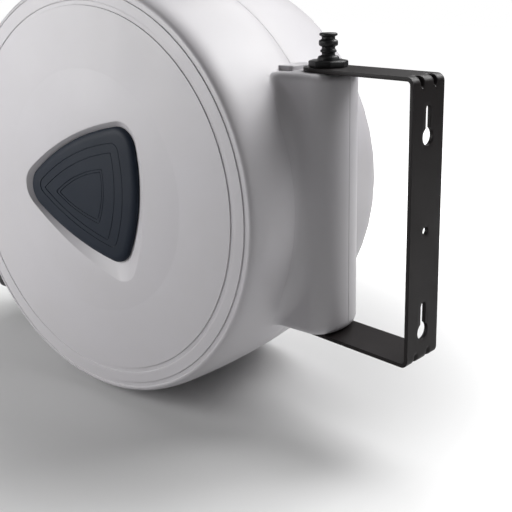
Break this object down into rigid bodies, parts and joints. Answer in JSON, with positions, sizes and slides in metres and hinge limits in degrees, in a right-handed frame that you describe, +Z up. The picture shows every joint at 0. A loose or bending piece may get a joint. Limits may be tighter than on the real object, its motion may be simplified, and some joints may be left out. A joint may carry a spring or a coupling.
{
  "type": "retractable hose reel",
  "caption": "Wall-mounted retractable hose reel: round two-half case on a swivel column, held in a U bracket by a lift-out pin, with spring drum, level wind and roller outlet.",
  "frame": {"origin": "Middle of the bracket's wall face, on the wall plane", "axes": "+X points into the wall, out of the bracket's back face; +Z is up; the reel stands out along -X, turned 6.5 degrees about its pivot as in the picture"},
  "size_m": [0.6334, 0.2775, 0.5135],
  "materials": {
    "case_grey": "light grey moulded shell with a satin sheen",
    "badge_blue": "dark blue-grey satin plastic",
    "black_plastic": "black satin plastic",
    "powder_coat": "black powder coat, fine grain",
    "bearing_plastic": "natural acetal",
    "zinc_steel": "zinc-plated steel",
    "brass": "turned brass",
    "black_rubber": "black rubber",
    "hose_skin": "black hose skin"
  },
  "bodies": {
    "bracket": {"wall_bracket": "powder_coat"},
    "pivot_pin": {"pivot_rod": "zinc_steel", "pin_head": "black_plastic"},
    "reel_body": {"case_left": "case_grey", "case_right": "case_grey", "case_screw_1": "zinc_steel", "case_screw_2": "zinc_steel", "case_screw_3": "zinc_steel", "case_screw_4": "zinc_steel", "case_screw_5": "zinc_steel", "case_screw_6": "zinc_steel", "badge_plate": "badge_blue", "outlet_bezel": "black_plastic", "roller_pin_top": "zinc_steel", "roller_pin_bottom": "zinc_steel", "roller_pin_left": "zinc_steel", "roller_pin_right": "zinc_steel", "carry_handle": "black_plastic", "pivot_sleeve": "zinc_steel", "bush_top": "bearing_plastic", "bush_bottom": "bearing_plastic", "inlet_elbow": "brass", "inlet_connector": "black_plastic", "inlet_seal": "black_rubber", "drum_bush": "bearing_plastic", "spring_arbor": "zinc_steel", "pawl_pin": "zinc_steel", "drive_belt": "black_rubber", "screw_bush_left": "bearing_plastic", "screw_bush_right": "bearing_plastic", "guide_rod": "zinc_steel"},
    "hose_drum": {"drum_core": "bearing_plastic", "flange_left": "bearing_plastic", "flange_right": "bearing_plastic", "hub_elbow": "brass", "hose_inner_layers": "hose_skin", "hose_outer_layer": "hose_skin", "arbor_bush": "bearing_plastic", "spring_housing": "black_plastic", "spring_cover": "black_plastic", "main_spring": "zinc_steel"},
    "level_wind_screw": {"cross_screw": "zinc_steel", "screw_pulley": "black_plastic"},
    "carriage": {"guide_carriage": "black_plastic"},
    "top_roller": {"roller_top": "black_plastic"},
    "bottom_roller": {"roller_bottom": "black_plastic"},
    "left_roller": {"roller_left": "black_plastic"},
    "right_roller": {"roller_right": "black_plastic"},
    "pawl": {"lock_pawl": "black_plastic"}
  },
  "joints": [
    {"name": "pin_lift", "type": "slide", "parent": "bracket", "child": "pivot_pin", "axis": [0, 0, 1], "range_m": [0, 0.3]},
    {"name": "swivel", "type": "hinge", "parent": "bracket", "child": "reel_body", "pos_m": [-0.1192, 0, 0], "axis": [0, 0, 1], "range_deg": [-96.5, 83.4]},
    {"name": "drum_spin", "type": "hinge", "parent": "reel_body", "child": "hose_drum", "pos_m": [-0.35516, -0.02697, 0], "axis": [-0.1136, 0.9935, 0], "range_deg": [-1080, 1080]},
    {"name": "screw_spin", "type": "hinge", "parent": "reel_body", "child": "level_wind_screw", "pos_m": [-0.53975, -0.04806, -0.08664], "axis": [-0.1136, 0.9935, 0], "range_deg": [-2700, 2700]},
    {"name": "guide_travel", "type": "slide", "parent": "reel_body", "child": "carriage", "axis": [-0.1136, 0.9935, 0], "range_m": [-0.051, 0.051]},
    {"name": "roller_top_spin", "type": "hinge", "parent": "reel_body", "child": "top_roller", "pos_m": [-0.61595, -0.05677, -0.109], "axis": [-0.1136, 0.9935, 0], "continuous": true},
    {"name": "roller_bottom_spin", "type": "hinge", "parent": "reel_body", "child": "bottom_roller", "pos_m": [-0.61595, -0.05677, -0.155], "axis": [-0.1136, 0.9935, 0], "continuous": true},
    {"name": "roller_left_spin", "type": "hinge", "parent": "reel_body", "child": "left_roller", "pos_m": [-0.59347, -0.07735, -0.132], "axis": [0, 0, 1], "continuous": true},
    {"name": "roller_right_spin", "type": "hinge", "parent": "reel_body", "child": "right_roller", "pos_m": [-0.59869, -0.03165, -0.132], "axis": [0, 0, 1], "continuous": true},
    {"name": "pawl_catch", "type": "hinge", "parent": "reel_body", "child": "pawl", "pos_m": [-0.38933, -0.03087, 0.081], "axis": [-0.1136, 0.9935, 0], "range_deg": [0, 16], "stiffness_Nm_per_rad": 0.02}
  ],
  "couplings": [
    {"joint": "screw_spin", "follows": "drum_spin", "ratio": 2.5},
    {"joint": "guide_travel", "follows": "drum_spin", "m_per_rad": 0.0027}
  ]
}
